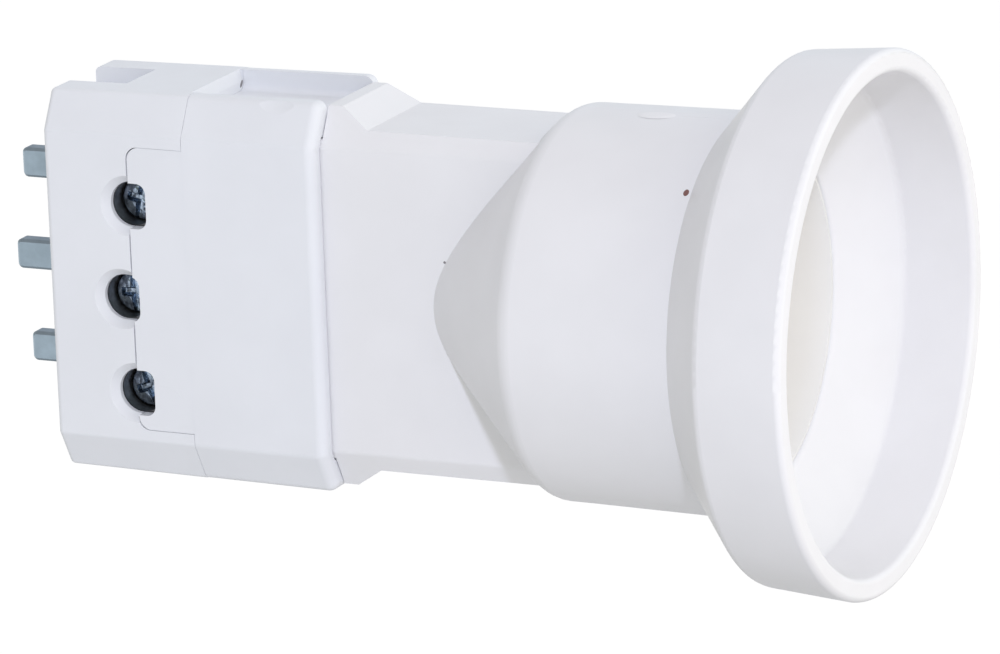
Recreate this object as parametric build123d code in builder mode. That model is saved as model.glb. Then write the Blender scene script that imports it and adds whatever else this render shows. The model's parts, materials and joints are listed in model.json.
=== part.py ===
from build123d import *
from math import atan, cos, radians, sin, tan
import os

# Luminaire plug with three flat pins and a lamp holder that pulls out of its collar.
# Frame: X runs from the pin face at x = 0 to the lamp mouth, Z along the row of pins and
# Y across the flat sides. The screw holes open on the -Y side. All sizes are millimetres.

# Plug casing: base and collar share one drafted, eight-sided envelope
plug_half_thickness = 8.5
plug_half_height = 19.05
plug_side_half_height = 15.3
corner_slope = 0.56
draft_angle = 0.7
base_edge_radius = 0.6
base_length = 15.2
collar_length = 14.2
collar_edge_radius = 1.0
parting_gap = 0.12
seam_gap = 0.04
front_wall = 1.25

# Tongue of the collar that closes the front of the base
tongue_tip_x = 9.05
tongue_half_height = 14.2
tongue_corner_radius = 1.3
tongue_thickness = 1.2
tongue_step = 0.06

# Keyway in the top of the base, channel along the top of the collar and thumb scoop in its edge
keyway_width = 6.2
keyway_length = 6.7
keyway_depth = 1.7
channel_width = 10.4
channel_floor = 17.2
channel_corner_radius = 0.7
base_end_bevel = 0.35
base_end_bevel_depth = 1.15
scoop_radius = 10.0
scoop_from_end = 4.75
scoop_depth = 0.42
scoop_rise = 1.2

# Pins and their screw clamps
pin_pitch = 9.4
pin_width = 3.0
pin_thickness = 1.8
pin_reach = 6.6
pin_tip_radius = 0.55
pin_rise = 0.4
earth_lead = 1.15
screw_offset = 1.5
pin_clearance = 0.05
clamp_length = 6.0
clamp_inner_width = 6.2
clamp_wall = 0.8
clamp_tapped_wall = 1.6
clamp_guard = 2.6
clamp_clearance = 0.15
wire_space = 2.0

# Clamp screws and their access holes
screw_radius = 1.5
screw_clearance = 0.08
screw_head_radius = 2.1
screw_head_height = 1.2
screw_head_bevel = 0.25
screw_head_clearance = 0.15
screw_head_lift = 0.15
screw_slot_width = 0.7
screw_slot_depth = 0.7
line_slot_angle = -12
earth_slot_angle = 3
neutral_slot_angle = 20
screw_tip_drop = 0.4
hole_radius = 2.27
hole_bevel = 0.75
hole_bevel_angle = 82
notch_depth = 1.95
notch_corner_radius = 1.0

# Lamp holder body: shank, shoulder, flat neck, cone, barrel and bell
neck_half_thickness = 7.1
neck_half_height = 16.9
neck_side_half_height = 15.15
shank_start_x = 16.6
shank_half_height = 15.9
shank_end_wall = 2.0
shank_clearance = 0.2
neck_edge_radius = 0.8
shoulder_half_height = 18.9
shoulder_gap = 0.1
shoulder_length = 1.5
ramp_length = 3.0
barrel_start_x = 53.2
barrel_radius = 19.15
barrel_draft = 0.2
barrel_length = 17.0
barrel_edge_radius = 2.2
cone_angle = 44.1
bell_back_length = 5.2
bell_back_radius = 25.5
bell_length = 8.8
rim_radius = 26.2
rim_edge_radius = 0.6
bell_edge_radius = 1.0
rim_wall = 2.3
bell_inner_depth = 7.2
bell_floor_radius = 23.5
throat_depth = 4.6
throat_edge_radius = 0.8
bore_radius = 16.8
bore_floor_x = 54.0
neck_wall = 1.9
cavity_half_height = 14.4

# Lamp socket: threaded sleeve, contact base, contacts, rivets and fixing screws
thread_radius = 13.4
sleeve_wall = 2.8
sleeve_flange = 2.0
sleeve_clearance = 0.08
sleeve_end_drop = 0.1
thread_start = 5.0
thread_length = 7.0
thread_relief = 0.7
mouth_radius = 16.4
base_radius = 10.0
base_thickness = 3.0
base_clearance = 0.2
contact_thickness = 0.5
contact_width = 5.0
contact_foot_length = 5.5
contact_bend_gap = 0.4
centre_contact_rise = 3.6
centre_contact_overshoot = 1.6
side_contact_radius = 12.2
side_contact_rise = 7.5
side_contact_lean = 3.2
rivet_offset = 5.2
rivet_radius = 1.2
rivet_head_radius = 1.9
rivet_head_height = 0.6
fixing_offset = 7.3
fixing_radius = 1.1
fixing_depth = 3.2
fixing_head_radius = 2.0
fixing_head_height = 1.3
fixing_clearance = 0.1
blade_thickness = 1.0
blade_width = 2.4
blade_clearance = 0.25
blade_foot_width = 5.0
blade_foot_height = 4.4
blade_foot_thickness = 1.0
blade_tip_back = 1.6

# Places worked out from the sizes above
draft_rate = tan(radians(draft_angle))
collar_end_x = base_length + collar_length
base_end_x = base_length - seam_gap / 2
base_end_z = plug_half_height + draft_rate * base_length
collar_start_x = base_length + seam_gap / 2
corner_angle = atan(corner_slope)
corner_half_thickness = plug_half_thickness - corner_slope * (plug_half_height - plug_side_half_height)
scoop_x = collar_end_x - scoop_from_end
scoop_reach = scoop_radius - scoop_depth
scoop_out = scoop_reach * cos(corner_angle) - scoop_rise * sin(corner_angle)
scoop_up = scoop_reach * sin(corner_angle) + scoop_rise * cos(corner_angle)
scoop_y = corner_half_thickness + draft_rate * scoop_x + scoop_out
scoop_z = plug_half_height + draft_rate * scoop_x + scoop_up
pocket_front_y = plug_half_thickness - front_wall
clamp_half_width = clamp_inner_width / 2 + clamp_wall
clamp_front_inner_y = -pin_thickness / 2 - wire_space
clamp_seat_y = clamp_front_inner_y - clamp_tapped_wall
clamp_front_y = clamp_seat_y - clamp_guard
clamp_back_inner_y = pin_thickness / 2 + pin_clearance
clamp_back_y = clamp_back_inner_y + clamp_wall
blade_y = -pin_thickness / 2 - blade_clearance - blade_thickness / 2
shoulder_x = collar_end_x + shoulder_gap
ramp_x = shoulder_x + shoulder_length
neck_x = ramp_x + ramp_length
barrel_end_x = barrel_start_x + barrel_length
bell_x = barrel_end_x + bell_back_length
rim_x = bell_x + bell_length
throat_x = rim_x - bell_inner_depth
bore_mouth_x = throat_x - throat_depth
base_seat_radius = base_radius + base_clearance
base_seat_x = bore_floor_x - (bore_radius - base_seat_radius) / tan(radians(cone_angle))
base_front_x = base_seat_x + base_thickness
cavity_x = shank_start_x + shank_end_wall
cavity_half_thickness = neck_half_thickness - neck_wall
sleeve_x = bore_floor_x
sleeve_end_x = bore_mouth_x - sleeve_end_drop
contact_foot_start = rivet_offset - rivet_head_radius - contact_bend_gap
contact_foot_end = contact_foot_start + contact_foot_length


class Pole:
    """One of the three poles: where its pin, screw and clamp lie."""

    def __init__(self, name, place, lead, slot_angle):
        self.name = name
        self.slot_angle = slot_angle
        self.pin_z = place * pin_pitch + pin_rise
        self.screw_z = self.pin_z - screw_offset
        self.lead = lead
        self.screw_x = tongue_tip_x - lead
        self.clamp_x = self.screw_x - clamp_length / 2
        self.tip_x = -pin_reach - lead


line = Pole("line", 1, 0, line_slot_angle)
earth = Pole("earth", 0, earth_lead, earth_slot_angle)
neutral = Pole("neutral", -1, 0, neutral_slot_angle)
poles = [line, earth, neutral]
lamp_poles = [line, neutral]
fixing_places = [(fixing_offset, 0), (-fixing_offset, 0)]
rivet_places = [(0, rivet_offset), (0, -rivet_offset)]


def eight_sides(half_thickness, half_height, side_half_height):
    """Tall eight-sided section: flat sides, sloped corners and narrow flat top and bottom."""
    top_half = half_thickness - corner_slope * (half_height - side_half_height)
    quarter = [(half_thickness, side_half_height), (top_half, half_height)]
    left = [(-y, z) for y, z in reversed(quarter)]
    lower = [(-y, -z) for y, z in quarter + left]
    Polygon(*quarter, *left, *lower, align=None)


def tongue_outline(tip_x, half_height, end_x, corner_radius):
    """Outline of the tongue on the flat side, with its two free corners rounded."""
    with Locations(((tip_x + end_x) / 2, 0)):
        outline = Rectangle(end_x - tip_x, 2 * half_height)
    fillet(outline.vertices().group_by(Axis.X)[0], radius=corner_radius)


def round_corner(sketch, corner, radius):
    """Round the corner of a sketch that lies at the given place."""
    fillet(sketch.vertices().sort_by_distance(corner)[0], radius)


def finish(piece, name):
    """Label a finished piece and write its file."""
    piece.part.label = name
    export_step(piece.part, f"parts/{name}.step")


os.makedirs("parts", exist_ok=True)

# Envelope of the plug casing, wider towards the collar by the mould's draft
with BuildPart() as envelope:
    with BuildSketch(Plane.YZ):
        eight_sides(plug_half_thickness, plug_half_height, plug_side_half_height)
    extrude(amount=collar_end_x, taper=-draft_angle)

# Base: pin block with three clamp pockets, screw holes and the keyway
with BuildPart() as plug_base:
    add(envelope.part)
    split(bisect_by=Plane.YZ.offset(base_end_x), keep=Keep.BOTTOM)
    fillet(plug_base.edges().group_by(Axis.X)[:-1], base_edge_radius)
    with BuildSketch(Plane.XZ.offset(plug_half_thickness - tongue_thickness - parting_gap)):
        tongue_outline(
            tongue_tip_x,
            tongue_half_height + seam_gap / 2,
            base_length + parting_gap,
            tongue_corner_radius,
        )
    extrude(amount=2 * tongue_thickness, mode=Mode.SUBTRACT)
    for pole in poles:
        pocket_x = pole.clamp_x - clamp_clearance
        pocket_back_y = clamp_back_y + clamp_clearance
        with BuildSketch(Plane.YZ.offset(pocket_x)):
            with Locations(((pocket_back_y - pocket_front_y) / 2, pole.screw_z)):
                Rectangle(pocket_back_y + pocket_front_y, 2 * (clamp_half_width + clamp_clearance))
        extrude(amount=base_length - pocket_x, mode=Mode.SUBTRACT)
        with BuildSketch(Plane.YZ):
            with Locations((0, pole.pin_z)):
                Rectangle(pin_thickness + 2 * pin_clearance, pin_width + 2 * pin_clearance)
        extrude(amount=pocket_x, mode=Mode.SUBTRACT)
        hole_face_y = plug_half_thickness + draft_rate * pole.screw_x
        hole_plane = Plane((pole.screw_x, -hole_face_y, pole.screw_z), z_dir=(0, -1, 0))
        with Locations(hole_plane):
            CounterSinkHole(
                hole_radius, hole_radius + hole_bevel, 2 * front_wall, hole_bevel_angle
            )
        with BuildSketch(Plane.XZ.offset(pocket_front_y - parting_gap)):
            with Locations(((pole.screw_x + tongue_tip_x + parting_gap) / 2, pole.screw_z)):
                Rectangle(pole.lead + parting_gap, 2 * hole_radius)
        extrude(amount=2 * front_wall, mode=Mode.SUBTRACT)
    with BuildSketch(Plane.XY.offset(plug_half_height - keyway_depth)):
        Rectangle(2 * keyway_length, keyway_width)
    extrude(amount=2 * keyway_depth, mode=Mode.SUBTRACT)
    with BuildSketch(Plane.XZ):
        with BuildLine():
            Polyline(
                (base_end_x - base_end_bevel, base_end_z),
                (base_end_x, base_end_z - base_end_bevel_depth),
                (base_end_x, base_end_z),
                close=True,
            )
        make_face()
    extrude(amount=channel_width / 2, both=True, mode=Mode.SUBTRACT)
finish(plug_base, "plug_base")

# Tongue: a plate a hair below the envelope's side, notched beside each screw hole
with BuildPart() as tongue:
    with BuildSketch(Plane.XZ.offset(plug_half_thickness - tongue_thickness)):
        tongue_outline(
            tongue_tip_x + parting_gap,
            tongue_half_height - seam_gap / 2,
            base_length + 2 * parting_gap,
            tongue_corner_radius,
        )
    extrude(amount=2 * tongue_thickness)
    add(envelope.part.moved(Location((0, tongue_step, 0))), mode=Mode.INTERSECT)
    for pole in poles:
        notch_end_x = tongue_tip_x + notch_depth - pole.lead
        with BuildSketch(Plane.XZ):
            with Locations(((pole.screw_x + notch_end_x) / 2, pole.screw_z)):
                notch = Rectangle(notch_end_x - pole.screw_x, 2 * hole_radius)
            fillet(notch.vertices().group_by(Axis.X)[-1], notch_corner_radius)
        extrude(amount=2 * plug_half_thickness, mode=Mode.SUBTRACT)

# Collar: the sleeve that takes the holder's shank, with the tongue in one piece with it
with BuildPart() as plug_collar:
    add(envelope.part)
    split(bisect_by=Plane.YZ.offset(collar_start_x), keep=Keep.TOP)
    fillet(plug_collar.edges().group_by(Axis.X)[1:], collar_edge_radius)
    with BuildSketch(Plane.YZ.offset(base_length)):
        eight_sides(
            neck_half_thickness + shank_clearance,
            shank_half_height + shank_clearance,
            neck_side_half_height,
        )
    extrude(amount=collar_length, mode=Mode.SUBTRACT)
    with BuildSketch(Plane.YZ.offset(base_length)):
        with Locations((0, channel_floor + channel_width / 2)):
            RectangleRounded(channel_width, channel_width, channel_corner_radius)
    extrude(amount=collar_length, mode=Mode.SUBTRACT)
    with Locations((scoop_x, -scoop_y, scoop_z)):
        Sphere(scoop_radius, mode=Mode.SUBTRACT)
    add(tongue.part)
finish(plug_collar, "plug_collar")

for pole in poles:
    # Pin: a flat bar with rounded tip, whose tail lies in the clamp
    with BuildPart() as pin:
        tail_x = pole.clamp_x + clamp_length - clamp_clearance
        with BuildSketch(Plane.XZ):
            with Locations(((pole.tip_x + tail_x) / 2, pole.pin_z)):
                bar = Rectangle(tail_x - pole.tip_x, pin_width)
            fillet(bar.vertices().group_by(Axis.X)[0], pin_tip_radius)
        extrude(amount=pin_thickness / 2, both=True)
        tip_edges = pin.faces().sort_by(Axis.X)[0].edges().filter_by(Axis.Z)
        chamfer(tip_edges, pin_tip_radius / 2)
    finish(pin, f"{pole.name}_pin")

    # Clamp: a cage round the pin's tail, tapped through its front wall and guarding the screw's head
    with BuildPart() as clamp:
        with BuildSketch(Plane.YZ.offset(pole.clamp_x)):
            with Locations(((clamp_front_y + clamp_back_y) / 2, pole.screw_z)):
                Rectangle(clamp_back_y - clamp_front_y, 2 * clamp_half_width)
            with Locations(((clamp_front_inner_y + clamp_back_inner_y) / 2, pole.screw_z)):
                Rectangle(
                    clamp_back_inner_y - clamp_front_inner_y, clamp_inner_width, mode=Mode.SUBTRACT
                )
        extrude(amount=clamp_length)
        with Locations(Plane((pole.screw_x, clamp_front_y, pole.screw_z), z_dir=(0, -1, 0))):
            CounterBoreHole(
                screw_radius + screw_clearance,
                screw_head_radius + screw_head_clearance,
                clamp_guard,
                clamp_guard + clamp_tapped_wall,
            )
    finish(clamp, f"{pole.name}_clamp")

    # Screw: slotted cheese head on a plain-tipped shank
    with BuildPart() as screw:
        head_y = clamp_seat_y - screw_head_lift
        tip_y = clamp_front_inner_y + screw_tip_drop
        head_plane = Plane((pole.screw_x, head_y, pole.screw_z), z_dir=(0, -1, 0))
        with BuildSketch(head_plane):
            Circle(screw_head_radius)
        extrude(amount=screw_head_height)
        chamfer(screw.edges().sort_by(Axis.Y)[0], screw_head_bevel)
        with BuildSketch(head_plane):
            Circle(screw_radius)
        extrude(amount=head_y - tip_y)
        with BuildSketch(head_plane.offset(screw_head_height - screw_slot_depth)):
            Rectangle(3 * screw_head_radius, screw_slot_width, rotation=pole.slot_angle)
        extrude(amount=screw_slot_depth, mode=Mode.SUBTRACT)
    finish(screw, f"{pole.name}_screw")

# Holder body: one moulding from the shank to the rim of the bell
with BuildPart() as holder_body:
    with BuildSketch(Plane.YZ.offset(shank_start_x)):
        eight_sides(neck_half_thickness, shoulder_half_height, neck_side_half_height)
    extrude(amount=barrel_start_x - shank_start_x)
    with BuildSketch(Plane.XZ):
        with BuildLine():
            upper = Polyline(
                (shank_start_x, 0),
                (shank_start_x, shank_half_height),
                (shoulder_x, shank_half_height),
                (shoulder_x, shoulder_half_height),
                (ramp_x, shoulder_half_height),
                (neck_x, neck_half_height),
                (barrel_start_x, neck_half_height),
                (barrel_start_x, 0),
            )
            mirror(upper, about=Plane.XZ)
        make_face()
    extrude(amount=plug_half_thickness, both=True, mode=Mode.INTERSECT)
    side_edges = holder_body.edges().filter_by(Axis.X).group_by(SortBy.LENGTH)[-1]
    fillet(side_edges, neck_edge_radius)
    with BuildSketch(Plane.XZ) as outer_profile:
        with BuildLine():
            Polyline(
                (barrel_start_x - barrel_radius / tan(radians(cone_angle)), 0),
                (barrel_start_x, barrel_radius),
                (barrel_end_x, barrel_radius + barrel_draft),
                (bell_x, bell_back_radius),
                (rim_x, rim_radius),
                (rim_x, 0),
                close=True,
            )
        make_face()
        round_corner(outer_profile, (barrel_start_x, barrel_radius), barrel_edge_radius)
        round_corner(outer_profile, (bell_x, bell_back_radius), bell_edge_radius)
    revolve(axis=Axis.X)
    with BuildSketch(Plane.XZ) as hollow_profile:
        with BuildLine():
            Polyline(
                (base_seat_x, 0),
                (base_seat_x, base_seat_radius),
                (bore_floor_x, bore_radius),
                (bore_mouth_x, bore_radius),
                (throat_x, bell_floor_radius),
                (rim_x, rim_radius - rim_wall),
                (rim_x, 0),
                close=True,
            )
        make_face()
        round_corner(hollow_profile, (bore_mouth_x, bore_radius), throat_edge_radius)
        round_corner(hollow_profile, (throat_x, bell_floor_radius), throat_edge_radius)
    revolve(axis=Axis.X, mode=Mode.SUBTRACT)
    fillet(holder_body.edges().group_by(Axis.X)[-1], rim_edge_radius)
    with BuildSketch(Plane.YZ.offset(cavity_x)):
        Rectangle(2 * cavity_half_thickness, 2 * cavity_half_height)
    extrude(amount=base_seat_x - cavity_x, mode=Mode.SUBTRACT)
    with BuildSketch(Plane.YZ.offset(shank_start_x)):
        with Locations(*[(blade_y, pole.screw_z) for pole in lamp_poles]):
            Rectangle(blade_thickness + 2 * pin_clearance, blade_width + 2 * pin_clearance)
    extrude(amount=shank_end_wall, mode=Mode.SUBTRACT)
    with BuildSketch(Plane.YZ.offset(base_seat_x)):
        with Locations(*fixing_places):
            Circle(fixing_radius + fixing_clearance)
    extrude(amount=-fixing_depth, mode=Mode.SUBTRACT)
finish(holder_body, "holder_body")

# Threaded sleeve: flanged at both ends, relieved round the contacts and flared at its mouth
with BuildPart() as thread_sleeve:
    with BuildSketch(Plane.XZ):
        with BuildLine():
            flange_radius = bore_radius - sleeve_clearance
            sleeve_radius = thread_radius + sleeve_wall
            relief_radius = thread_radius + thread_relief
            thread_x = sleeve_x + thread_start
            Polyline(
                (thread_x, thread_radius),
                (thread_x, relief_radius),
                (sleeve_x, relief_radius),
                (sleeve_x, flange_radius),
                (sleeve_x + sleeve_flange, flange_radius),
                (sleeve_x + sleeve_flange, sleeve_radius),
                (sleeve_end_x - sleeve_flange, sleeve_radius),
                (sleeve_end_x - sleeve_flange, flange_radius),
                (sleeve_end_x, flange_radius),
                (sleeve_end_x, mouth_radius),
                (thread_x + thread_length, thread_radius),
                close=True,
            )
        make_face()
    revolve(axis=Axis.X)
finish(thread_sleeve, "thread_sleeve")

# Contact base: insulating disc with counterbored fixing holes and two rivet holes
with BuildPart() as contact_base:
    with BuildSketch(Plane.YZ.offset(base_seat_x)):
        Circle(base_radius)
        with Locations(*rivet_places):
            Circle(rivet_radius + fixing_clearance, mode=Mode.SUBTRACT)
    extrude(amount=base_thickness)
    with Locations(*[Plane((base_front_x, y, z), z_dir=(1, 0, 0)) for y, z in fixing_places]):
        CounterBoreHole(
            fixing_radius + fixing_clearance,
            fixing_head_radius + fixing_clearance,
            fixing_head_height,
        )
finish(contact_base, "contact_base")

# Centre contact: sprung strip that leans over the middle of the base
foot_x = base_front_x + contact_thickness / 2
with BuildPart() as centre_contact:
    with BuildSketch(Plane.XZ):
        with BuildLine() as centre_path:
            Polyline(
                (foot_x, contact_foot_end),
                (foot_x, contact_foot_start),
                (foot_x + centre_contact_rise, 0),
                (foot_x + centre_contact_rise, -centre_contact_overshoot),
            )
        trace(centre_path.edges(), contact_thickness)
    extrude(amount=contact_width / 2, both=True)
    with BuildSketch(Plane.YZ.offset(base_front_x)):
        with Locations((0, rivet_offset)):
            Circle(rivet_radius + fixing_clearance)
    extrude(amount=contact_thickness, mode=Mode.SUBTRACT)
finish(centre_contact, "centre_contact")

# Side contact: sprung strip that stands up along the thread
with BuildPart() as side_contact:
    with BuildSketch(Plane.XZ):
        with BuildLine() as side_path:
            Polyline(
                (foot_x, -contact_foot_start),
                (foot_x, -contact_foot_end),
                (foot_x + side_contact_lean, -side_contact_radius),
                (foot_x + side_contact_rise, -side_contact_radius),
            )
        trace(side_path.edges(), contact_thickness)
    extrude(amount=contact_width / 2, both=True)
    with BuildSketch(Plane.YZ.offset(base_front_x)):
        with Locations((0, -rivet_offset)):
            Circle(rivet_radius + fixing_clearance)
    extrude(amount=contact_thickness, mode=Mode.SUBTRACT)
finish(side_contact, "side_contact")

for pole, rivet_z in zip(lamp_poles, (rivet_offset, -rivet_offset)):
    # Blade: a foot riveted behind the base and a bar that reaches into the pole's clamp
    foot_back_x = base_seat_x - blade_foot_thickness
    with BuildPart() as blade:
        tip_x = pole.clamp_x + blade_tip_back
        with BuildSketch(Plane.XZ.offset(-blade_y)):
            with Locations(((tip_x + foot_back_x) / 2, pole.screw_z)):
                Rectangle(foot_back_x - tip_x, blade_width)
        extrude(amount=blade_thickness / 2, both=True)
        chamfer(blade.faces().sort_by(Axis.X)[0].edges().filter_by(Axis.Z), blade_thickness / 4)
        with BuildSketch(Plane.YZ.offset(foot_back_x)):
            with Locations((0, rivet_z)):
                RectangleRounded(blade_foot_width, blade_foot_height, blade_foot_height / 4)
            with Locations((blade_y, (rivet_z + pole.screw_z) / 2)):
                Rectangle(blade_width, abs(pole.screw_z - rivet_z) + blade_width)
            with Locations((0, rivet_z)):
                Circle(rivet_radius + fixing_clearance, mode=Mode.SUBTRACT)
        extrude(amount=blade_foot_thickness)
    finish(blade, f"{pole.name}_blade")

    # Rivet: joins the blade's foot, the base and the contact
    with BuildPart() as rivet:
        rivet_front_x = base_front_x + contact_thickness
        with BuildSketch(Plane.YZ.offset(foot_back_x)):
            with Locations((0, rivet_z)):
                Circle(rivet_radius)
        extrude(amount=rivet_front_x - foot_back_x)
        for head_x in (foot_back_x - rivet_head_height, rivet_front_x):
            with BuildSketch(Plane.YZ.offset(head_x)):
                with Locations((0, rivet_z)):
                    Circle(rivet_head_radius)
            extrude(amount=rivet_head_height)
    finish(rivet, f"{pole.name}_rivet")

# Fixing screws: hold the contact base on the ledges of the body
with BuildPart() as fixing_screws:
    head_seat_x = base_front_x - fixing_head_height
    for y, z in fixing_places:
        with BuildSketch(Plane.YZ.offset(head_seat_x)):
            with Locations((y, z)):
                Circle(fixing_head_radius)
        extrude(amount=fixing_head_height)
        with BuildSketch(Plane.YZ.offset(head_seat_x)):
            with Locations((y, z)):
                Circle(fixing_radius)
        extrude(amount=base_seat_x - fixing_depth + fixing_clearance - head_seat_x)
finish(fixing_screws, "fixing_screws")
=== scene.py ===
import json
from math import cos, pi, radians, sin

import bmesh
import bpy
import numpy as np
from bpy.props import FloatProperty, FloatVectorProperty, PointerProperty
from mathutils import Matrix, Vector


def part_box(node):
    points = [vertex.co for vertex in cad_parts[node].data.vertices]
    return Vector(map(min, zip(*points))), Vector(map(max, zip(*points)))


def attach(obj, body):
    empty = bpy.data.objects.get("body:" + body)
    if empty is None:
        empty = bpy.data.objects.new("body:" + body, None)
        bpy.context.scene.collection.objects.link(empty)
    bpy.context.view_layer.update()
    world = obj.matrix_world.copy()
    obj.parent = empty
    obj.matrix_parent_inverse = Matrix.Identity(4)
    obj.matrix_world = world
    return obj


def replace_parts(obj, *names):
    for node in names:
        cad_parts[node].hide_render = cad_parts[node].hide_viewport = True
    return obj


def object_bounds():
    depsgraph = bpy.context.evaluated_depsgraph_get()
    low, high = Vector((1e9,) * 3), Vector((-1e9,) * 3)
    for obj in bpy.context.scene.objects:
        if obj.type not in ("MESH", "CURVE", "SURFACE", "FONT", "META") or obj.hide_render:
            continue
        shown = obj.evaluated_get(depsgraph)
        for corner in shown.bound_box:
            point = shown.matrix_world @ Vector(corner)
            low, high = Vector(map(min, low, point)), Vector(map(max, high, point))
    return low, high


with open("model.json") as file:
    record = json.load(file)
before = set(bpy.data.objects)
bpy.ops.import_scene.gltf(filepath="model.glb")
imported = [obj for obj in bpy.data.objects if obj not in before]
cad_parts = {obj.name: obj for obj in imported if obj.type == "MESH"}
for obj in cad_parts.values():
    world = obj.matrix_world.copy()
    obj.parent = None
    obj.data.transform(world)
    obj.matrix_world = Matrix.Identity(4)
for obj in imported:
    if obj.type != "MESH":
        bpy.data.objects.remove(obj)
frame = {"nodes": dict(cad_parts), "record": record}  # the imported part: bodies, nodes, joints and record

bl_info = {
    "name": "Lamp Holder Plug",
    "version": (1, 0, 0),
    "blender": (4, 5, 0),
    "location": "3D View > Sidebar > Lamp Plug",
    "description": "Dresses the packed lamp holder plug and sets up its studio",
    "category": "Object",
}

MM = 0.001
WELD = 1e-4 * MM  # points nearer than this are one
CAD_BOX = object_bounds()
LAMP_SOCKET = next(m for m in frame["record"]["mounts"] if m["name"] == "lamp_socket")


def on_barrel(along, turn):
    """Place on the axis, and the way to it from a turn up from the screw side."""
    return Vector((along, 0, 0)), Vector((0, cos(turn), -sin(turn)))


def on_screw_side(along, up):
    """Place on the part's middle plane, and the way to it from the screw side."""
    return Vector((along, 0, up)), Vector((0, 1, 0))


# Each mark's place on the part, and the way that leads to it from outside
GATE_PLACE = on_barrel(62.1 * MM, radians(86))
SEAM_PLACE = on_barrel(66.9 * MM, radians(86.3))
BURN_PLACE = on_barrel(69.68 * MM, radians(50.1))
NECK_FLECK_PLACE = on_screw_side(42.12 * MM, 4.76 * MM)
UPPER_LINE_PLACE = on_screw_side(12.26 * MM, -9.6 * MM)
LOWER_LINE_PLACE = on_screw_side(13.75 * MM, -10.4 * MM)
# painted shade: place of the grey patch in the channel's dark corner
CHANNEL_SHADE_PLACE = Vector((0, 4.82 * MM, 17.85 * MM)), Vector((-1, 0, 0))


class CasingSettings(bpy.types.PropertyGroup):
    """Finish of the moulded casing and holder."""

    plug_colour: FloatVectorProperty(
        name="Plug colour", description="Cool white of the base and collar",
        subtype="COLOR", size=3, min=0, max=1, default=(0.772, 0.788, 0.825))
    holder_colour: FloatVectorProperty(
        name="Holder colour", description="Neutral white of the lamp holder",
        subtype="COLOR", size=3, min=0, max=1, default=(0.795, 0.795, 0.815))
    sleeve_colour: FloatVectorProperty(
        name="Sleeve colour", description="Cream of the threaded sleeve and contact base",
        subtype="COLOR", size=3, min=0, max=1, default=(0.728, 0.706, 0.655))
    # painted shade: the sleeve is pale at its mouth and turns to darker cream deeper in the bore
    mouth_colour: FloatVectorProperty(
        name="Mouth colour", description="Paler cream at the sleeve's mouth",
        subtype="COLOR", size=3, min=0, max=1, default=(0.83, 0.835, 0.845))
    bore_shade_depth: FloatProperty(
        name="Mouth fade", description="Depth over which the sleeve's mouth turns to cream",
        unit="LENGTH", default=2.8 * MM)
    plug_roughness: FloatProperty(
        name="Plug roughness", description="Middle roughness of the base and collar",
        min=0, max=1, default=0.40)
    holder_roughness: FloatProperty(
        name="Holder roughness", description="Middle roughness of the lamp holder",
        min=0, max=1, default=0.36)
    sleeve_roughness: FloatProperty(
        name="Sleeve roughness", description="Middle roughness of the sleeve and contact base",
        min=0, max=1, default=0.6)
    grain: FloatProperty(
        name="Mould grain", description="Size of the fine grain left by the mould",
        unit="LENGTH", default=0.22 * MM)


class MetalSettings(bpy.types.PropertyGroup):
    """Finish of the pins, screws and contacts."""

    pin_colour: FloatVectorProperty(
        name="Pin colour", description="Dull nickel plating on the pins",
        subtype="COLOR", size=3, min=0, max=1, default=(0.387, 0.48, 0.56))
    clamp_colour: FloatVectorProperty(
        name="Clamp colour", description="Dark zinc plating on the clamps",
        subtype="COLOR", size=3, min=0, max=1, default=(0.31, 0.31, 0.33))
    screw_colour: FloatVectorProperty(
        name="Screw colour", description="Blue zinc plating on the screws",
        subtype="COLOR", size=3, min=0, max=1, default=(0.38, 0.46, 0.57))
    brass_colour: FloatVectorProperty(
        name="Brass colour", description="Bare stamped brass of blades and contacts",
        subtype="COLOR", size=3, min=0, max=1, default=(0.62, 0.46, 0.20))


class ThreadSettings(bpy.types.PropertyGroup):
    """Rolled thread in the lamp socket; its place comes from the part's own mount."""

    middle: FloatProperty(
        name="Middle", description="Place of the thread's middle on the part's axis",
        unit="LENGTH", default=LAMP_SOCKET["pos_m"][0])
    radius: FloatProperty(
        name="Radius", description="Radius at the bottom of the grooves",
        unit="LENGTH", default=LAMP_SOCKET["dims"]["r_mm"] * MM)
    length: FloatProperty(
        name="Length", description="Length of the threaded stretch",
        unit="LENGTH", default=LAMP_SOCKET["dims"]["length_mm"] * MM)
    pitch: FloatProperty(
        name="Pitch", description="Distance from one turn to the next",
        unit="LENGTH", default=3.62 * MM)
    depth: FloatProperty(
        name="Depth", description="Height of the rounded ridges",
        unit="LENGTH", default=1.05 * MM)
    root: FloatProperty(
        name="Root", description="Depth of the thread's back in the sleeve's wall",
        unit="LENGTH", default=0.3 * MM)


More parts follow.
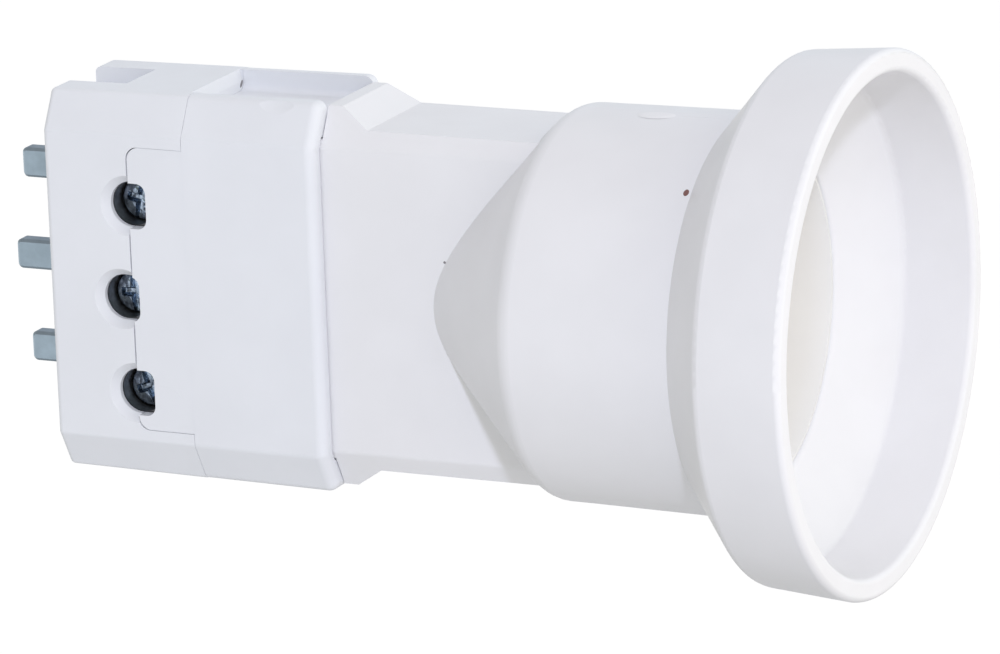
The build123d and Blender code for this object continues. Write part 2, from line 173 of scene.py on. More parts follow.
class ScrewSettings(bpy.types.PropertyGroup):
    """Clamp screws and fixing screws; their radius and length come from the solids."""

    head_height: FloatProperty(
        name="Head height", description="From the seat to the top of the head",
        unit="LENGTH", default=1.2 * MM)
    dome: FloatProperty(
        name="Dome", description="Height of the head's middle above its rim",
        unit="LENGTH", default=0.22 * MM)
    edge: FloatProperty(
        name="Edge", description="Radius of the head's rounded rim",
        unit="LENGTH", default=0.3 * MM)
    shank: FloatProperty(
        name="Shank", description="Radius of the screw below its head",
        unit="LENGTH", default=1.5 * MM)
    slot_width: FloatProperty(
        name="Slot width", description="Width of the driver's slot",
        unit="LENGTH", default=0.7 * MM)
    slot_depth: FloatProperty(
        name="Slot depth", description="Depth of the driver's slot",
        unit="LENGTH", default=0.7 * MM)
    slot_edge: FloatProperty(
        name="Slot edge", description="Half the width of the slot's worn edges",
        unit="LENGTH", default=0.17 * MM)
    cross_length: FloatProperty(
        name="Cross length", description="Length of the shorter slot that crosses the long one",
        unit="LENGTH", default=2.9 * MM)
    line_turn: FloatProperty(
        name="Line turn", description="Lean of the line screw's slot towards the pins",
        subtype="ANGLE", default=radians(-12))
    earth_turn: FloatProperty(
        name="Earth turn", description="Lean of the earth screw's slot towards the pins",
        subtype="ANGLE", default=radians(3))
    neutral_turn: FloatProperty(
        name="Neutral turn", description="Lean of the neutral screw's slot towards the pins",
        subtype="ANGLE", default=radians(20))
    fixing_head_height: FloatProperty(
        name="Fixing head height", description="Height of the heads that hold the contact base",
        unit="LENGTH", default=1.3 * MM)
    fixing_shank: FloatProperty(
        name="Fixing shank", description="Radius of those screws below their heads",
        unit="LENGTH", default=1.1 * MM)
    fixing_turn: FloatProperty(
        name="Fixing turn", description="Lean of the slots in those screws, opposite on each side",
        subtype="ANGLE", default=radians(35))


class MarkSettings(bpy.types.PropertyGroup):
    """Small marks that moulding and handling left on the plastic, and a grey patch of painted shade in the
    channel's corner.
    """

    barrel_radius: FloatProperty(
        name="Barrel radius", description="Radius that the barrel's marks curve round",
        unit="LENGTH", default=19.3 * MM)
    gate_length: FloatProperty(
        name="Gate length", description="Length of the oval mark on top of the barrel",
        unit="LENGTH", default=3.9 * MM)
    gate_width: FloatProperty(
        name="Gate width", description="Width of the oval mark on top of the barrel",
        unit="LENGTH", default=2.2 * MM)
    gate_height: FloatProperty(
        name="Gate height", description="Height of the oval mark",
        unit="LENGTH", default=0.09 * MM)
    gate_colour: FloatVectorProperty(
        name="Gate colour", description="Pale blush of the oval mark",
        subtype="COLOR", size=3, min=0, max=1, default=(0.84, 0.84, 0.86))
    gate_grain: FloatProperty(
        name="Gate grain", description="Size of the grain on the oval mark",
        unit="LENGTH", default=0.3 * MM)
    seam_length: FloatProperty(
        name="Seam length", description="Length of the parting line on top of the barrel",
        unit="LENGTH", default=5.2 * MM)
    seam_height: FloatProperty(
        name="Seam height", description="Height of the parting line on top of the barrel",
        unit="LENGTH", default=0.04 * MM)
    line_width: FloatProperty(
        name="Line width", description="Width of the fine raised lines",
        unit="LENGTH", default=0.14 * MM)
    line_height: FloatProperty(
        name="Line height", description="Height of the fine raised lines",
        unit="LENGTH", default=0.016 * MM)
    upper_line_length: FloatProperty(
        name="Upper line length", description="Length of the upper of two lines under the holes",
        unit="LENGTH", default=1.8 * MM)
    upper_line_turn: FloatProperty(
        name="Upper line turn", description="Turn of the upper line from the part's axis",
        subtype="ANGLE", default=radians(5))
    lower_line_length: FloatProperty(
        name="Lower line length", description="Length of the lower of two lines under the holes",
        unit="LENGTH", default=2.1 * MM)
    lower_line_turn: FloatProperty(
        name="Lower line turn", description="Turn of the lower line from the part's axis",
        subtype="ANGLE", default=radians(-54.6))
    burn_length: FloatProperty(
        name="Burn length", description="Length along the axis of the brown fleck on the barrel",
        unit="LENGTH", default=0.55 * MM)
    burn_width: FloatProperty(
        name="Burn width", description="Width round the barrel of the brown fleck",
        unit="LENGTH", default=0.77 * MM)
    fleck_length: FloatProperty(
        name="Fleck length", description="Length along the axis of the dark fleck on the neck",
        unit="LENGTH", default=0.28 * MM)
    fleck_width: FloatProperty(
        name="Fleck width", description="Width up the neck of the dark fleck",
        unit="LENGTH", default=0.252 * MM)
    fleck_height: FloatProperty(
        name="Fleck height", description="Height of the flecks",
        unit="LENGTH", default=0.035 * MM)
    # painted shade: size and rise of the grey patch in the channel's corner
    shade_patch_length: FloatProperty(
        name="Gap length", description="Length of the dark corner in the channel",
        unit="LENGTH", default=0.85 * MM)
    shade_patch_width: FloatProperty(
        name="Gap width", description="Width of the dark corner in the channel",
        unit="LENGTH", default=0.42 * MM)
    shade_patch_turn: FloatProperty(
        name="Gap turn", description="Rise of the dark corner towards the channel's wall",
        subtype="ANGLE", default=radians(50))
    burn_colour: FloatVectorProperty(
        name="Burn colour", description="Brown of the fleck on the barrel",
        subtype="COLOR", size=3, min=0, max=1, default=(0.20, 0.095, 0.085))
    # also the colour of the painted shade in the channel's corner
    fleck_and_shade_colour: FloatVectorProperty(
        name="Fleck colour", description="Grey of the dark fleck and corner",
        subtype="COLOR", size=3, min=0, max=1, default=(0.22, 0.21, 0.22))


class StageSettings(bpy.types.PropertyGroup):
    """Camera and light of the studio."""

    azimuth: FloatProperty(
        name="Azimuth", description="Camera's turn to the right of the screw side",
        subtype="ANGLE", default=radians(24.99))
    elevation: FloatProperty(
        name="Elevation", description="Camera's height above the part's axis",
        subtype="ANGLE", default=radians(15.02))
    roll: FloatProperty(
        name="Roll", description="Camera's turn about its own axis",
        subtype="ANGLE", default=radians(-2.08))
    distance: FloatProperty(
        name="Distance", description="From the camera to the point it looks at",
        unit="LENGTH", default=0.6598)
    focal_ratio: FloatProperty(
        name="Focal ratio", description="Focal length as a share of the picture's width",
        default=6.899)
    aim_along: FloatProperty(
        name="Aim along axis", description="Place on the part's axis that the aim starts from",
        unit="LENGTH", default=55.0 * MM)
    aim_right: FloatProperty(
        name="Aim to the right", description="Shift of the aim across the picture",
        unit="LENGTH", default=-9.54 * MM)
    aim_up: FloatProperty(
        name="Aim up", description="Shift of the aim up the picture",
        unit="LENGTH", default=-2.34 * MM)
    floor_drop: FloatProperty(
        name="Floor drop", description="Depth of the floor under the part",
        unit="LENGTH", default=0.22)
    floor_reach: FloatProperty(
        name="Floor reach", description="Half the width of the floor",
        unit="LENGTH", default=6.0)
    floor_colour: FloatVectorProperty(
        name="Floor colour", description="Pale grey of the floor",
        subtype="COLOR", size=3, min=0, max=1, default=(0.6, 0.6, 0.6))
    even_light: FloatVectorProperty(
        name="Even light", description="Light from everywhere above the floor",
        subtype="COLOR", size=3, min=0, soft_max=1, default=(0.216, 0.26, 0.213))
    top_light: FloatVectorProperty(
        name="Top light", description="Light from the tent's roof",
        subtype="COLOR", size=3, min=0, soft_max=1, default=(0.356, 0.3, 0.353))
    right_light: FloatVectorProperty(
        name="Right light", description="Light from the tent's wall beyond the bell",
        subtype="COLOR", size=3, min=0, soft_max=1, default=(0.787, 0.734, 0.615))
    left_light: FloatVectorProperty(
        name="Left light", description="Light from the tent's wall beyond the pins",
        subtype="COLOR", size=3, min=0, soft_max=1, default=(0.136, 0.093, 0.082))
    back_light: FloatVectorProperty(
        name="Back light", description="Light from the far side of the tent",
        subtype="COLOR", size=3, min=0, soft_max=1, default=(0.501, 0.569, 0.707))
    near_glow: FloatVectorProperty(
        name="Near glow", description="Glow of the lit table under the part",
        subtype="COLOR", size=3, min=0, soft_max=1, default=(0.03, 0.034, 0.026))
    far_glow: FloatVectorProperty(
        name="Far glow", description="Glow of the lit table round the part",
        subtype="COLOR", size=3, min=0, soft_max=1, default=(0.548, 0.546, 0.549))
    glow_start: FloatProperty(
        name="Glow start", description="Reach from the middle where the far glow begins",
        unit="LENGTH", default=0.38)
    glow_end: FloatProperty(
        name="Glow end", description="Reach from the middle where the far glow is full",
        unit="LENGTH", default=0.6)
    bell_glow: FloatVectorProperty(
        name="Bell glow", description="Glow that the lit table adds beyond the bell",
        subtype="COLOR", size=3, min=0, soft_max=1, default=(0.151, 0.116, 0.109))
    bell_glow_start: FloatProperty(
        name="Bell glow start", description="Place along the axis where the bell glow begins",
        unit="LENGTH", default=0.05)
    bell_glow_end: FloatProperty(
        name="Bell glow end", description="Place along the axis where the bell glow is full",
        unit="LENGTH", default=0.5)
    key_colour: FloatVectorProperty(
        name="Key colour", description="Colour of the small lamp above the camera",
        subtype="COLOR", size=3, min=0, soft_max=1, default=(0.799, 0.821, 1))
    key: FloatProperty(
        name="Key", description="Power of the small lamp above the camera", default=3.34)
    key_size: FloatProperty(
        name="Key size", description="Width of the key lamp", unit="LENGTH", default=0.05)
    key_distance: FloatProperty(
        name="Key distance", description="From the key lamp to the part's axis",
        unit="LENGTH", default=0.9)
    key_azimuth: FloatProperty(
        name="Key azimuth", description="Key lamp's turn to the right of the screw side",
        subtype="ANGLE", default=radians(30))
    key_elevation: FloatProperty(
        name="Key elevation", description="Key lamp's height above the part's axis",
        subtype="ANGLE", default=radians(27.4))


def direction(azimuth, elevation):
    """Unit vector from the part towards a place at that turn and height."""
    level = cos(elevation)
    return Vector((sin(azimuth) * level, -cos(azimuth) * level, sin(elevation)))


def node_tree(name):
    """New material with a Principled shader, its tree and the shader."""
    material = bpy.data.materials.new(name)
    material.use_nodes = True
    tree = material.node_tree
    return material, tree, tree.nodes["Principled BSDF"]


def add_node(tree, kind, **settings):
    """New node of a kind with its settings, and its inputs named by their labels."""
    node = tree.nodes.new(kind)
    for key, value in settings.items():
        if hasattr(node, key):
            setattr(node, key, value)
        else:
            node.inputs[key].default_value = value
    return node


def noise_at(tree, size, detail=2.0, roughness=0.5):
    """Noise in Object coordinates whose lumps are about the given size across."""
    place = add_node(tree, "ShaderNodeTexCoord")
    noise = add_node(tree, "ShaderNodeTexNoise", Scale=1.0 / size, Detail=detail, Roughness=roughness)
    tree.links.new(place.outputs["Object"], noise.inputs["Vector"])
    return noise


def ramp_between(tree, source, low, high, start=0.35, end=0.65):
    """Colour ramp from one colour to another over part of a 0 to 1 value."""
    ramp = add_node(tree, "ShaderNodeValToRGB")
    ramp.color_ramp.elements[0].position = start
    ramp.color_ramp.elements[1].position = end
    ramp.color_ramp.elements[0].color = (*low, 1)
    ramp.color_ramp.elements[1].color = (*high, 1)
    tree.links.new(source, ramp.inputs["Fac"])
    return ramp


def value_range(tree, source, low, high):
    """Value spread from low to high over the usual range of a noise."""
    spread = add_node(tree, "ShaderNodeMapRange")
    noise_low, noise_high = 0.3, 0.7
    spread.inputs["From Min"].default_value = noise_low
    spread.inputs["From Max"].default_value = noise_high
    spread.inputs["To Min"].default_value = low
    spread.inputs["To Max"].default_value = high
    tree.links.new(source, spread.inputs["Value"])
    return spread


def shade(colour, share):
    """Colour with each channel times a share, kept under one."""
    return tuple(min(1.0, c * share) for c in colour)


def part_along(tree, coordinates, axis):
    """Value of a place or normal measured along an axis."""
    place = add_node(tree, "ShaderNodeTexCoord")
    part = add_node(tree, "ShaderNodeVectorMath", operation="DOT_PRODUCT")
    part.inputs[1].default_value = axis
    tree.links.new(place.outputs[coordinates], part.inputs[0])
    return part.outputs["Value"]


def combined(tree, operation, first, second):
    """Two colours added or multiplied channel by channel."""
    both = add_node(tree, "ShaderNodeVectorMath", operation=operation)
    tree.links.new(first, both.inputs[0])
    tree.links.new(second, both.inputs[1])
    return both.outputs["Vector"]


def moulded_plastic(name, colour, grain, roughness, fade=None):
    """Moulded plastic: faint clouds in its colour, a fine grain and slow waves in its gloss.

    A fade gives a second colour, and the places along the axis where it ends and the first is full; the
    sleeve uses it for painted shade that deepens into the bore.
    """
    cloud_size, wave_size = 9 * MM, 4 * MM
    darkest, lightest = 0.985, 1.012
    gloss_spread, reflection = 0.05, 0.42
    grain_strength, grain_depth = 0.06, 0.02 * MM
    material, tree, shader = node_tree(name)
    clouds = noise_at(tree, cloud_size, detail=3.0)
    tint = ramp_between(tree, clouds.outputs["Fac"], shade(colour, darkest), shade(colour, lightest))
    base = tint.outputs["Color"]
    if fade:
        # painted shade: the colour turns towards the second one along the axis
        second, start, end = fade
        share = tuple(b / a for a, b in zip(colour, second))
        along = part_along(tree, "Object", (1, 0, 0))
        depth = ramp_between(tree, along, share, (1, 1, 1), start, end)
        base = combined(tree, "MULTIPLY", base, depth.outputs["Color"])
    tree.links.new(base, shader.inputs["Base Color"])
    waves = noise_at(tree, wave_size)
    gloss = value_range(tree, waves.outputs["Fac"], roughness - gloss_spread, roughness + gloss_spread)
    tree.links.new(gloss.outputs["Result"], shader.inputs["Roughness"])
    fine = noise_at(tree, grain, detail=1.0)
    bump = add_node(tree, "ShaderNodeBump", Strength=grain_strength, Distance=grain_depth)
    tree.links.new(fine.outputs["Fac"], bump.inputs["Height"])
    tree.links.new(bump.outputs["Normal"], shader.inputs["Normal"])
    shader.inputs["Specular IOR Level"].default_value = reflection
    return material


def plated_metal(name, colour, roughness, lump, stain=0.18, dent=0.0, edge=1.0):
    """Plated metal: uneven gloss, dull stains in its colour and shallow dents, sized by its lumps.

    Faces that look up or down take a share of the colour, given by edge: painted shade.
    """
    smear_size, grain_size, dent_depth = 2.5 * lump, 0.2 * lump, 0.2 * lump
    grain_strength, grain_depth = 0.1, 0.01 * MM
    gloss_spread = 0.06
    leaning, upright = 0.6, 0.85
    material, tree, shader = node_tree(name)
    stains = noise_at(tree, lump, detail=4.0, roughness=0.6)
    dull, bright = shade(colour, 1 - stain), shade(colour, 1 + stain / 2)
    tint = ramp_between(tree, stains.outputs["Fac"], dull, bright)
    # painted shade: faces that look up or down are darkened to the edge share
    either = add_node(tree, "ShaderNodeMath", operation="ABSOLUTE")
    tree.links.new(part_along(tree, "Normal", (0, 0, 1)), either.inputs[0])
    painted_shade_share = ramp_between(tree, either.outputs["Value"], (1, 1, 1), (edge, edge, edge), leaning, upright)
    base = combined(tree, "MULTIPLY", tint.outputs["Color"], painted_shade_share.outputs["Color"])
    tree.links.new(base, shader.inputs["Base Color"])
    smear = noise_at(tree, smear_size)
    gloss = value_range(tree, smear.outputs["Fac"], roughness - gloss_spread, roughness + gloss_spread)
    tree.links.new(gloss.outputs["Result"], shader.inputs["Roughness"])
    fine = noise_at(tree, grain_size, detail=2.0)
    grain = add_node(tree, "ShaderNodeBump", Strength=grain_strength, Distance=grain_depth)
    tree.links.new(fine.outputs["Fac"], grain.inputs["Height"])
    coarse = noise_at(tree, lump, detail=1.0)
    dents = add_node(tree, "ShaderNodeBump", Strength=dent, Distance=dent_depth)
    tree.links.new(coarse.outputs["Fac"], dents.inputs["Height"])
    tree.links.new(grain.outputs["Normal"], dents.inputs["Normal"])
    tree.links.new(dents.outputs["Normal"], shader.inputs["Normal"])
    shader.inputs["Metallic"].default_value = 1.0
    return material


def tent_wall(tree, facing, colour):
    """Background that glows most in one direction and fades to nothing at right angles to it."""
    glow = add_node(tree, "ShaderNodeBackground")
    glow.inputs["Color"].default_value = (*colour, 1)
    front = add_node(tree, "ShaderNodeMath", operation="MAXIMUM")
    front.inputs[1].default_value = 0
    tree.links.new(part_along(tree, "Generated", facing), front.inputs[0])
    tree.links.new(front.outputs["Value"], glow.inputs["Strength"])
    return glow


def blend(low, high, value):
    """Share that rises smoothly from 0 at low to 1 at high, as 3t^2 - 2t^3."""
    t = np.clip((value - low) / (high - low), 0, 1)
    return t * t * (3 - 2 * t)


def add_surface(name, grids, material, body, sharp=radians(35)):
    """Piece whose skins run through grids of points, with quads between neighbours.

    Points that meet at poles and seams are merged, so each skin is closed.
    """
    made = bmesh.new()
    for points in grids:
        rows, columns = points.shape[:2]
        index = np.arange(rows * columns).reshape(rows, columns)
        corners = (index[:-1, :-1], index[:-1, 1:], index[1:, 1:], index[1:, :-1])
        faces = np.stack(corners, -1).reshape(-1, 4)
        skin = bpy.data.meshes.new("skin")
        skin.from_pydata(points.reshape(-1, 3).tolist(), [], faces.tolist())
        made.from_mesh(skin)
        bpy.data.meshes.remove(skin)
    bmesh.ops.remove_doubles(made, verts=made.verts, dist=WELD)
    bmesh.ops.dissolve_degenerate(made, edges=made.edges, dist=WELD)
    bmesh.ops.recalc_face_normals(made, faces=made.faces)
    mesh = bpy.data.meshes.new(name)
    made.to_mesh(mesh)
    made.free()
    mesh.shade_smooth()
    mesh.set_sharp_from_angle(angle=sharp)
    mesh.materials.append(material)
    piece = bpy.data.objects.new(name, mesh)
    bpy.context.collection.objects.link(piece)
    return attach(piece, body)


def surface_point(node, place, inward):
    """Point and outward normal where a line through a place, from far outside, meets a CAD node."""
    bpy.context.view_layer.update()
    hit, point, normal, _ = frame["nodes"][node].ray_cast(place - inward, inward)
    if not hit:
        raise RuntimeError(f"no surface of {node} lies on the line through {tuple(place)}")
    return point, normal


def lens_grid(point, normal, length, width, height, turn=0.0, bend=0.0, power=2):
    """Grid over a low oval lens that stands half out of a surface.

    The radius p runs from 0 to 1 over the top and back to 0 underneath. Height is h (1 - p^n) on
    top and its opposite below, less half the bend times the distance across squared. The power n
    is 2 on a round lens, and more on one with a flat top.
    """
    rings, spokes = 17, 49
    faces_mouth = abs(normal.x) > 0.9
    level = Vector((0, 1, 0)) if faces_mouth else Vector((1, 0, 0))
    along = (level - normal * normal.dot(level)).normalized()
    across = normal.cross(along)
    run = np.linspace(0, 2, rings)[:, None]
    share = np.where(run <= 1, run, 2 - run)
    side = np.where(run <= 1, 1, -1)
    around = np.linspace(0, 2 * pi, spokes)[None, :]
    u = 0.5 * length * share * np.cos(around)
    v = 0.5 * width * share * np.sin(around)
    s = u * cos(turn) - v * sin(turn)
    t = u * sin(turn) + v * cos(turn)
    rise = side * height * (1 - share**power) - 0.5 * bend * t**2
    offsets = (s, along), (t, across), (rise, normal)
    return np.array(point) + sum(size[..., None] * np.array(axis) for size, axis in offsets)


def paint(material, *names):
    """Give CAD nodes their material."""
    for name in names:
        slots = frame["nodes"][name].data.materials
        slots.clear()
        slots.append(material)


class DressCasing(bpy.types.Operator):
    """Finish the base and collar of the plug"""

    bl_idname = "lamp_plug.casing"
    bl_label = "Casing"

    def execute(self, context):
        look = context.scene.lamp_plug_casing
        plastic = moulded_plastic(
            "cool_white_moulding", look.plug_colour, look.grain, look.plug_roughness)
        paint(plastic, "plug_base", "plug_collar")
        return {"FINISHED"}


class DressHolder(bpy.types.Operator):
    """Finish the lamp holder's body, sleeve and contact base"""

    bl_idname = "lamp_plug.holder"
    bl_label = "Lamp holder"

    def execute(self, context):
        look = context.scene.lamp_plug_casing
        white = moulded_plastic(
            "neutral_white_moulding", look.holder_colour, look.grain, look.holder_roughness)
        paint(white, "holder_body")
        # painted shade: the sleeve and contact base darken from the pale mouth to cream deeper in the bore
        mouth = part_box("thread_sleeve")[1].x
        fade = look.sleeve_colour, mouth - look.bore_shade_depth, mouth
        cream = moulded_plastic(
            "cream_moulding", look.mouth_colour, look.grain, look.sleeve_roughness, fade)
        paint(cream, "thread_sleeve", "contact_base")
        return {"FINISHED"}


class RollThread(bpy.types.Operator):
    """Add the rolled thread in the lamp socket"""

    bl_idname = "lamp_plug.thread"
    bl_label = "Lamp thread"

    def execute(self, context):
        size = context.scene.lamp_plug_thread
        material = frame["nodes"]["thread_sleeve"].data.materials[0]
        add_surface("lamp_thread", [self.thread_grid(size)], material, "holder")
        return {"FINISHED"}

    def thread_grid(self, size):
        """Ring whose inner side is wavy and whose back lies in the sleeve's wall.

        The inner radius at place x and angle a is R - d f(x) (1 + cos(2 pi x / pitch - a)) / 2,
        where f fades the ridge out over the last part of a turn at both ends.
        """
        rings, spokes = 113, 145
        start, end = size.middle - size.length / 2, size.middle + size.length / 2
        inner = np.linspace(start, end, rings)
        along = np.concatenate([inner, (end, start, start)])[:, None]
        around = np.linspace(0, 2 * pi, spokes)[None, :]
        runout = 0.7 * size.pitch
        fade = blend(start, start + runout, along) * blend(end, end - runout, along)
        ridge = 0.5 + 0.5 * np.cos(2 * pi * along / size.pitch - around)
        radius = size.radius - size.depth * fade * ridge
        radius[len(inner):-1] = size.radius + size.root
        return np.stack([along + 0 * around, radius * np.cos(around), radius * np.sin(around)], -1)


class DressMetal(bpy.types.Operator):
    """Finish the pins, clamps and contacts"""

    bl_idname = "lamp_plug.metal"
    bl_label = "Metal pieces"

    def execute(self, context):
        look = context.scene.lamp_plug_metal
        # painted shade: the pins' faces that look up or down keep only half their colour
        nickel = plated_metal(
            "dull_nickel", look.pin_colour, roughness=0.42, lump=0.8 * MM, stain=0.05, edge=0.5)
        paint(nickel, "line_pin", "earth_pin", "neutral_pin")
        zinc = plated_metal("dark_zinc", look.clamp_colour, roughness=0.45, lump=0.6 * MM, dent=0.3)
        paint(zinc, "line_clamp", "earth_clamp", "neutral_clamp")
        brass = plated_metal("stamped_brass", look.brass_colour, roughness=0.32, lump=0.9 * MM)
        paint(brass, "line_blade", "neutral_blade", "centre_contact", "side_contact",
              "line_rivet", "neutral_rivet")
        return {"FINISHED"}


class CutScrews(bpy.types.Operator):
    """Add the clamp screws and the two screws that hold the contact base"""

    bl_idname = "lamp_plug.screws"
    bl_label = "Screws"

    def execute(self, context):
        size = context.scene.lamp_plug_screws
        colour = context.scene.lamp_plug_metal.screw_colour
        zinc = plated_metal(
            "blue_zinc", colour, roughness=0.16, lump=0.7 * MM, stain=0.6, dent=1.0)
        turns = {
            "line_screw": size.line_turn,
            "earth_screw": size.earth_turn,
            "neutral_screw": size.neutral_turn,
        }
        for node, turn in turns.items():
            low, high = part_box(node)
            top = Vector(((low.x + high.x) / 2, low.y, (low.z + high.z) / 2))
            form = {"radius": (high.x - low.x) / 2, "length": high.y - low.y,
                    "head_height": size.head_height, "shank": size.shank}
            grid = self.screw_grid(size, top, Vector((0, 1, 0)), turn, **form)
            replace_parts(add_surface(f"{node}_slotted", [grid], zinc, node), node)
        low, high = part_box("fixing_screws")
        radius = (high.z - low.z) / 2
        form = {"radius": radius, "length": high.x - low.x,
                "head_height": size.fixing_head_height, "shank": size.fixing_shank}
        grids = []
        for side in (-1, 1):
            top = Vector((high.x, side * (high.y - radius), (low.z + high.z) / 2))
            turn = side * size.fixing_turn
            grids.append(self.screw_grid(size, top, Vector((-1, 0, 0)), turn, **form))
        pair = add_surface("fixing_screws_slotted", grids, zinc, "holder")
        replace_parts(pair, "fixing_screws")
        return {"FINISHED"}

    def screw_grid(self, size, top, inward, turn, radius, length, head_height, shank):
        """Screw as one closed skin: a path from the middle of its head to its tip, turned round.

        The path runs over the top, which falls by the square of its share of the radius, round
        the rim, down the side, in to the shank and along it. On the head its depth is at least the
        drive's, s (1 - b(w)), where w is the distance from the middle of the nearer of two crossing
        slots and b rises from 0 to 1 over the slot's worn edge.
        """
        top_rings, bend_rings, side_rings, spokes = 61, 7, 9, 193
        edge, half = size.edge, size.slot_width / 2
        bend = np.linspace(0, pi / 2, bend_rings)
        across = np.linspace(0, radius - edge, top_rings)
        down = np.linspace(0, 1, side_rings)[1:]
        out = np.concatenate([across, radius - edge + edge * np.sin(bend[1:]), 0 * down + radius])
        rim = np.concatenate([0 * across, edge * (1 - np.cos(bend[1:])), 0 * down + edge])
        rim += size.dome * np.minimum(out / (radius - edge), 1) ** 2
        fall = np.concatenate([0 * across, 0 * bend[1:], down])
        out, rim, fall = out[:, None], rim[:, None], fall[:, None]
        around = np.linspace(0, 2 * pi, spokes)[None, :]
        u, v = np.abs(out * np.cos(around - turn)), np.abs(out * np.sin(around - turn))
        cross = np.maximum(v, u - size.cross_length / 2 + half)
        worn = blend(half - size.slot_edge, half + size.slot_edge, np.minimum(u, cross))
        start = np.maximum(rim, size.slot_depth * (1 - worn))
        head = start + (head_height - start) * fall
        bevel = 0.2 * shank
        stem = np.array([shank, shank, shank - bevel, 0])[:, None]
        stem_depth = np.array([head_height, length - bevel, length, length])[:, None]
        out = np.concatenate([out, stem])
        depth = np.concatenate([head, stem_depth + 0 * around])
        level = inward.cross(Vector((0, 0, 1)))
        offsets = (out * np.cos(around), level), (out * np.sin(around), (0, 0, 1)), (depth, inward)
        return np.array(top) + sum(far[..., None] * np.array(axis) for far, axis in offsets)


class AddMarks(bpy.types.Operator):
    """Add the small moulding marks, flecks and a grey patch of painted shade in the channel's corner"""

    bl_idname = "lamp_plug.marks"
    bl_label = "Marks"

    def execute(self, context):
        size = context.scene.lamp_plug_marks
        white = frame["nodes"]["holder_body"].data.materials[0]
        cool = frame["nodes"]["plug_collar"].data.materials[0]
        blush = moulded_plastic("gate_blush", size.gate_colour, size.gate_grain, roughness=0.6)
        brown = moulded_plastic("burnt_fleck", size.burn_colour, size.burn_length, roughness=0.5)
        grey = moulded_plastic("dark_fleck", size.fleck_and_shade_colour, size.fleck_length, roughness=0.5)
        round_barrel = 1 / size.barrel_radius
        gate = {"length": size.gate_length, "width": size.gate_width,
                "height": size.gate_height, "bend": round_barrel, "power": 6}
        seam = {"length": size.seam_length, "width": size.line_width,
                "height": size.seam_height, "bend": round_barrel}
        burn = {"length": size.burn_length, "width": size.burn_width, "height": size.fleck_height}
        fleck = {"length": size.fleck_length, "width": size.fleck_width, "height": size.fleck_height}
        shade_patch = {"length": size.shade_patch_length, "width": size.shade_patch_width,
               "height": size.fleck_height, "turn": size.shade_patch_turn}
        line = {"width": size.line_width, "height": size.line_height}
        upper = {"length": size.upper_line_length, "turn": size.upper_line_turn, **line}
        lower = {"length": size.lower_line_length, "turn": size.lower_line_turn, **line}
        self.on_holder("gate_mark", *GATE_PLACE, blush, gate)
        self.on_holder("parting_line", *SEAM_PLACE, white, seam)
        self.on_holder("burnt_fleck", *BURN_PLACE, brown, burn)
        self.on_holder("neck_fleck", *NECK_FLECK_PLACE, grey, fleck)
        self.on_plug("mould_line_upper", "plug_collar", *UPPER_LINE_PLACE, cool, upper)
        self.on_plug("mould_line_lower", "plug_collar", *LOWER_LINE_PLACE, cool, lower)
        # painted shade: grey patch on the base where the channel's corner lies in shadow
        self.on_plug("channel_gap", "plug_base", *CHANNEL_SHADE_PLACE, grey, shade_patch)
        return {"FINISHED"}

    def on_holder(self, name, place, inward, material, form):
        """Mark where a line through a place first meets the holder."""
        point, normal = surface_point("holder_body", place, inward)
        add_surface(name, [lens_grid(point, normal, **form)], material, "holder")

    def on_plug(self, name, node, place, inward, material, form):
        """Mark where a line through a place first meets a node of the plug."""
        point, normal = surface_point(node, place, inward)
        add_surface(name, [lens_grid(point, normal, **form)], material, "plug")


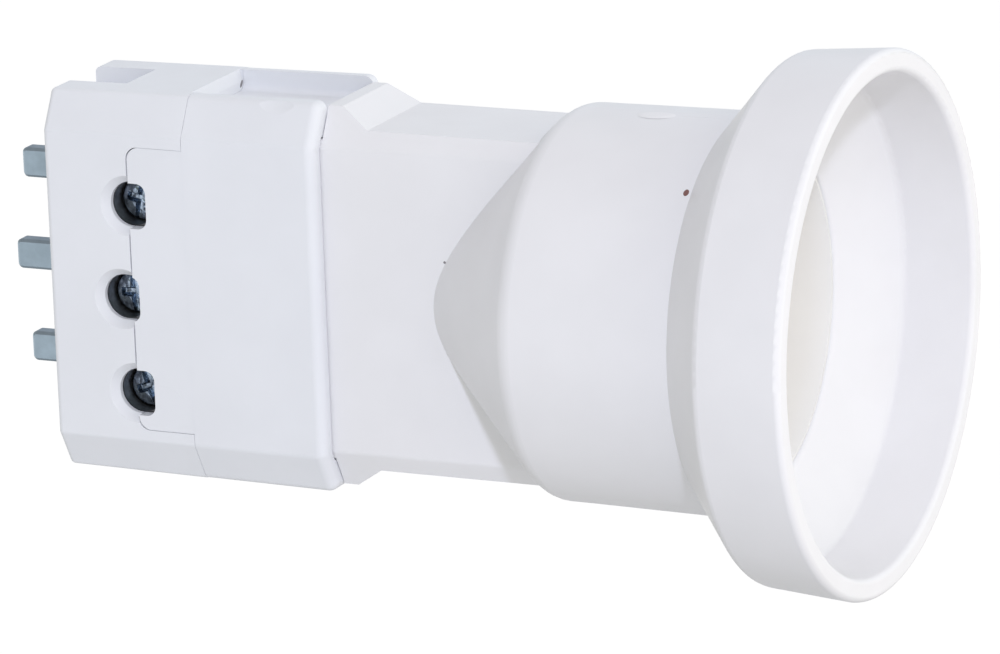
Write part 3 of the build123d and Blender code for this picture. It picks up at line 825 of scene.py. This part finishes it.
class SetStage(bpy.types.Operator):
    """Lay the floor and place the lights and the camera"""

    bl_idname = "lamp_plug.stage"
    bl_label = "Studio"

    def execute(self, context):
        look = context.scene.lamp_plug_stage
        self.lay_floor(context, look)
        self.light(context, look)
        self.place_camera(context, look)
        context.scene.view_settings.view_transform = "Standard"
        return {"FINISHED"}

    def lay_floor(self, context, look):
        """Flat square far wider than the picture, below the part, which glows more further out."""
        half = look.floor_reach
        level = CAD_BOX[0].z - look.floor_drop
        corners = [(-half, -half, level), (half, -half, level),
                   (half, half, level), (-half, half, level)]
        mesh = bpy.data.meshes.new("floor")
        mesh.from_pydata(corners, [], [(0, 1, 2, 3)])
        floor = bpy.data.objects.new("floor", mesh)
        context.collection.objects.link(floor)
        material, tree, shader = node_tree("pale_floor")
        shader.inputs["Base Color"].default_value = (*look.floor_colour, 1)
        shader.inputs["Roughness"].default_value = 0.95
        shader.inputs["Specular IOR Level"].default_value = 0.1
        place = add_node(tree, "ShaderNodeTexCoord")
        reach = add_node(tree, "ShaderNodeVectorMath", operation="LENGTH")
        level_only = add_node(tree, "ShaderNodeVectorMath", operation="MULTIPLY")
        level_only.inputs[1].default_value = (1, 1, 0)
        tree.links.new(place.outputs["Object"], level_only.inputs[0])
        tree.links.new(level_only.outputs["Vector"], reach.inputs[0])
        glow = ramp_between(
            tree, reach.outputs["Value"], look.near_glow, look.far_glow, look.glow_start, look.glow_end)
        beyond = part_along(tree, "Object", (1, 0, 0))
        extra = ramp_between(
            tree, beyond, (0, 0, 0), look.bell_glow, look.bell_glow_start, look.bell_glow_end)
        total = combined(tree, "ADD", glow.outputs["Color"], extra.outputs["Color"])
        tree.links.new(total, shader.inputs["Emission Color"])
        shader.inputs["Emission Strength"].default_value = 1.0
        mesh.materials.append(material)

    def light(self, context, look):
        """Light tent whose walls glow unevenly, and a small key lamp above the camera."""
        world = bpy.data.worlds.new("light_tent")
        world.use_nodes = True
        tree = world.node_tree
        total = tree.nodes["Background"]
        total.inputs["Color"].default_value = (*look.even_light, 1)
        walls = {
            (0, 0, 1): look.top_light,
            (1, 0, 0): look.right_light,
            (-1, 0, 0): look.left_light,
            (0, 1, 0): look.back_light,
        }
        for facing, colour in walls.items():
            wall = tent_wall(tree, facing, colour)
            both = add_node(tree, "ShaderNodeAddShader")
            tree.links.new(total.outputs[0], both.inputs[0])
            tree.links.new(wall.outputs["Background"], both.inputs[1])
            total = both
        tree.links.new(total.outputs[0], tree.nodes["World Output"].inputs["Surface"])
        context.scene.world = world
        lamp = bpy.data.lights.new("key", "AREA")
        lamp.energy = look.key
        lamp.color = look.key_colour
        lamp.size = look.key_size
        key = bpy.data.objects.new("key", lamp)
        back = direction(look.key_azimuth, look.key_elevation)
        key.location = Vector((look.aim_along, 0, 0)) + back * look.key_distance
        key.rotation_euler = (-back).to_track_quat("-Z", "Y").to_euler()
        key.visible_glossy = False
        context.collection.objects.link(key)

    def place_camera(self, context, look):
        """Camera at its turn, height and roll, aimed beside a place on the part's axis."""
        back = direction(look.azimuth, look.elevation)
        level_right = Vector((cos(look.azimuth), sin(look.azimuth), 0))
        level_up = back.cross(level_right)
        right = cos(look.roll) * level_right + sin(look.roll) * level_up
        up = -sin(look.roll) * level_right + cos(look.roll) * level_up
        aim = Vector((look.aim_along, 0, 0)) + right * look.aim_right + up * look.aim_up
        lens = bpy.data.cameras.new("camera")
        lens.sensor_width = 36
        lens.lens = look.focal_ratio * lens.sensor_width
        lens.clip_start = 0.05
        lens.clip_end = 50
        camera = bpy.data.objects.new("camera", lens)
        turn = Matrix((right, up, back)).transposed().to_4x4()
        camera.matrix_world = Matrix.Translation(aim + back * look.distance) @ turn
        context.collection.objects.link(camera)
        context.scene.camera = camera


class LampPlugPanel(bpy.types.Panel):
    """Lists the steps that dress the lamp holder plug"""

    bl_idname = "VIEW3D_PT_lamp_plug"
    bl_label = "Lamp Plug"
    bl_space_type = "VIEW_3D"
    bl_region_type = "UI"
    bl_category = "Lamp Plug"

    def draw(self, context):
        for step in STEPS:
            self.layout.operator(step.bl_idname)


SETTINGS = {
    "lamp_plug_casing": CasingSettings,
    "lamp_plug_metal": MetalSettings,
    "lamp_plug_thread": ThreadSettings,
    "lamp_plug_screws": ScrewSettings,
    "lamp_plug_marks": MarkSettings,
    "lamp_plug_stage": StageSettings,
}
STEPS = (DressCasing, DressHolder, RollThread, DressMetal, CutScrews, AddMarks, SetStage)


def register():
    for name, group in SETTINGS.items():
        bpy.utils.register_class(group)
        setattr(bpy.types.Scene, name, PointerProperty(type=group))
    for step in STEPS:
        bpy.utils.register_class(step)
    bpy.utils.register_class(LampPlugPanel)


def unregister():
    bpy.utils.unregister_class(LampPlugPanel)
    for step in reversed(STEPS):
        bpy.utils.unregister_class(step)
    for name, group in reversed(SETTINGS.items()):
        delattr(bpy.types.Scene, name)
        bpy.utils.unregister_class(group)


def main():
    """Register the add-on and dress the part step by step."""
    register()
    bpy.ops.lamp_plug.casing()
    bpy.ops.lamp_plug.holder()
    bpy.ops.lamp_plug.thread()
    bpy.ops.lamp_plug.metal()
    bpy.ops.lamp_plug.screws()
    bpy.ops.lamp_plug.marks()
    bpy.ops.lamp_plug.stage()


if __name__ == "__main__":
    main()
